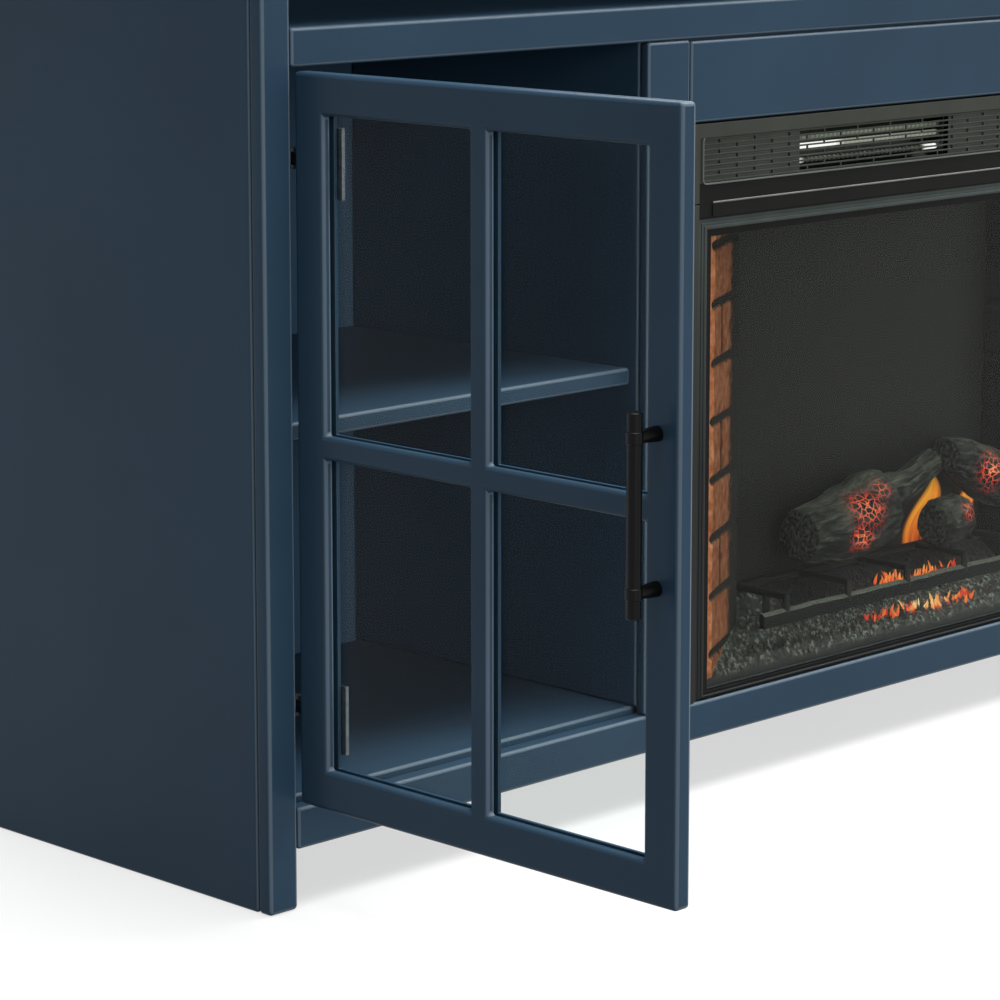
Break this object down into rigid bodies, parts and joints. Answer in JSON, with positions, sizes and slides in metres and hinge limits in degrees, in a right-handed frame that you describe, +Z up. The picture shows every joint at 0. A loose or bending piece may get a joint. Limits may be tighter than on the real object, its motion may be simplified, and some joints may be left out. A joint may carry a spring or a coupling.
{
  "type": "fireplace tv stand",
  "caption": "Painted TV stand with an open media bay, glazed cabinets with hinged doors and an electric fireplace insert.",
  "frame": {"origin": "on the floor, under the middle of the stand's bounding box with its left door open", "axes": "+X to the right along the front, +Y from the front to the back, +Z up"},
  "size_m": [1.648, 0.7754, 0.851],
  "materials": {
    "painted_wood": "satin paint",
    "painted_back": "satin paint",
    "door_glass": "clear",
    "hearth_glass": "clear, slightly smoked",
    "black_pull": "satin black",
    "hinge_nickel": "nickel plated",
    "insert_black": "fine texture",
    "case_steel": "black sheet steel",
    "brick": "moulded brick pattern",
    "soot_black": "matt black",
    "grate_iron": "matt black",
    "charred_log": "moulded, charred",
    "embers": "moulded, ash and glowing embers",
    "bright_reflector": "polished",
    "button_black": "matt"
  },
  "bodies": {
    "cabinet": {"left_side_panel": "painted_wood", "right_side_panel": "painted_wood", "left_front_post": "painted_wood", "right_front_post": "painted_wood", "top_board": "painted_wood", "media_shelf": "painted_wood", "media_upright": "painted_wood", "top_rail": "painted_wood", "bottom_rail": "painted_wood", "left_inner_stile": "painted_wood", "right_inner_stile": "painted_wood", "left_partition": "painted_wood", "right_partition": "painted_wood", "centre_panel": "painted_wood", "bottom_board": "painted_wood", "left_adjustable_shelf": "painted_wood", "right_adjustable_shelf": "painted_wood", "centre_leg": "painted_wood", "left_back_panel": "painted_back", "right_back_panel": "painted_back", "media_back_panel": "painted_back", "insert_glass": "hearth_glass", "left_upper_hinge_arm": "hinge_nickel", "left_lower_hinge_arm": "hinge_nickel", "right_upper_hinge_arm": "hinge_nickel", "right_lower_hinge_arm": "hinge_nickel", "insert_face": "insert_black", "vent_grille": "insert_black", "insert_case": "case_steel", "left_brick_liner": "brick", "right_brick_liner": "brick", "flame_screen": "soot_black", "fire_grate": "grate_iron", "left_log": "charred_log", "front_log": "charred_log", "right_log": "charred_log", "ember_bed": "embers", "heater_element": "bright_reflector", "blower_motor": "grate_iron", "spindle_motor": "grate_iron"},
    "left_door": {"left_door_frame": "painted_wood", "left_door_glass": "door_glass", "left_glass_retainer": "painted_wood", "left_door_pull": "black_pull", "left_upper_hinge_cup": "hinge_nickel", "left_lower_hinge_cup": "hinge_nickel"},
    "right_door": {"right_door_frame": "painted_wood", "right_door_glass": "door_glass", "right_glass_retainer": "painted_wood", "right_door_pull": "black_pull", "right_upper_hinge_cup": "hinge_nickel", "right_lower_hinge_cup": "hinge_nickel"},
    "left_hinge_links": {"left_upper_hinge_link": "hinge_nickel", "left_lower_hinge_link": "hinge_nickel"},
    "right_hinge_links": {"right_upper_hinge_link": "hinge_nickel", "right_lower_hinge_link": "hinge_nickel"},
    "blower": {"blower_wheel": "case_steel"},
    "spindle": {"flame_spindle": "bright_reflector"},
    "heater_switch": {"heater_button": "button_black"},
    "flame_switch": {"flame_button": "button_black"}
  },
  "joints": [
    {"name": "left_door_hinge", "type": "hinge", "parent": "cabinet", "child": "left_door", "pos_m": [-0.782, 0.01275, 0.3755], "axis": [0, 0, 1], "range_deg": [-5, 90]},
    {"name": "right_door_hinge", "type": "hinge", "parent": "cabinet", "child": "right_door", "pos_m": [0.782, 0.01275, 0.3755], "axis": [0, 0, 1], "range_deg": [0, 95]},
    {"name": "left_links_pivot", "type": "hinge", "parent": "cabinet", "child": "left_hinge_links", "pos_m": [-0.7564, 0.03675, 0.3755], "axis": [0, 0, 1], "range_deg": [-5, 90]},
    {"name": "right_links_pivot", "type": "hinge", "parent": "cabinet", "child": "right_hinge_links", "pos_m": [0.7564, 0.03675, 0.3755], "axis": [0, 0, 1], "range_deg": [0, 95]},
    {"name": "blower_spin", "type": "hinge", "parent": "cabinet", "child": "blower", "pos_m": [-0.066, 0.11235, 0.5488], "axis": [1, 0, 0], "continuous": true},
    {"name": "spindle_spin", "type": "hinge", "parent": "cabinet", "child": "spindle", "pos_m": [0, 0.16275, 0.1504], "axis": [1, 0, 0], "continuous": true},
    {"name": "heater_button_press", "type": "slide", "parent": "cabinet", "child": "heater_switch", "axis": [0, 1, 0], "range_m": [0, 0.0015], "stiffness_N_per_m": 300},
    {"name": "flame_button_press", "type": "slide", "parent": "cabinet", "child": "flame_switch", "axis": [0, 1, 0], "range_m": [0, 0.0015], "stiffness_N_per_m": 300}
  ],
  "couplings": [
    {"joint": "left_links_pivot", "follows": "left_door_hinge", "ratio": 1},
    {"joint": "right_links_pivot", "follows": "right_door_hinge", "ratio": 1}
  ]
}
